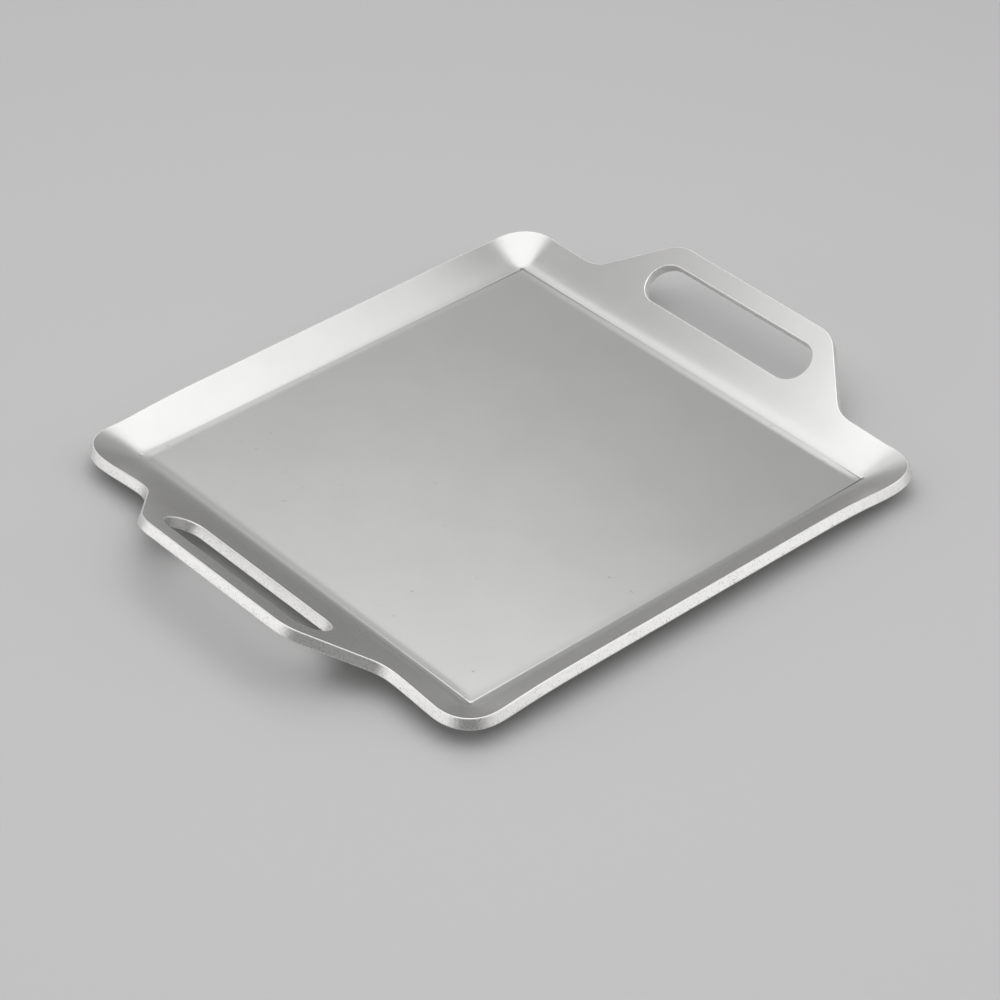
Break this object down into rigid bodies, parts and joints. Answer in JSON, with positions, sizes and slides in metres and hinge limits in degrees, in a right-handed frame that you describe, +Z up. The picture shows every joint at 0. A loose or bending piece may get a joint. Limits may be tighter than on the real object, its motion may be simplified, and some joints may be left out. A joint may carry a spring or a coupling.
{
  "type": "griddle plate",
  "caption": "Shallow square steel griddle plate with low sloping walls and slotted carrying handles on opposite sides, for cooking over a camp stove or a fire grate.",
  "frame": {"origin": "middle of the plate, on the underside of the base, where the plate stands", "axes": "+X from the left handle to the right handle, +Y from the front wall to the back wall, +Z up out of the cooking face"},
  "size_m": [0.2836, 0.2332, 0.0265],
  "materials": {
    "steel_sheet": "bare bright steel with a fine satin grain, and paler rough cut edges"
  },
  "bodies": {
    "root": {"base_panel": "steel_sheet", "left_handle_wall": "steel_sheet", "right_handle_wall": "steel_sheet", "front_wall": "steel_sheet", "back_wall": "steel_sheet", "front_left_corner": "steel_sheet", "front_right_corner": "steel_sheet", "back_right_corner": "steel_sheet", "back_left_corner": "steel_sheet"}
  },
  "joints": []
}
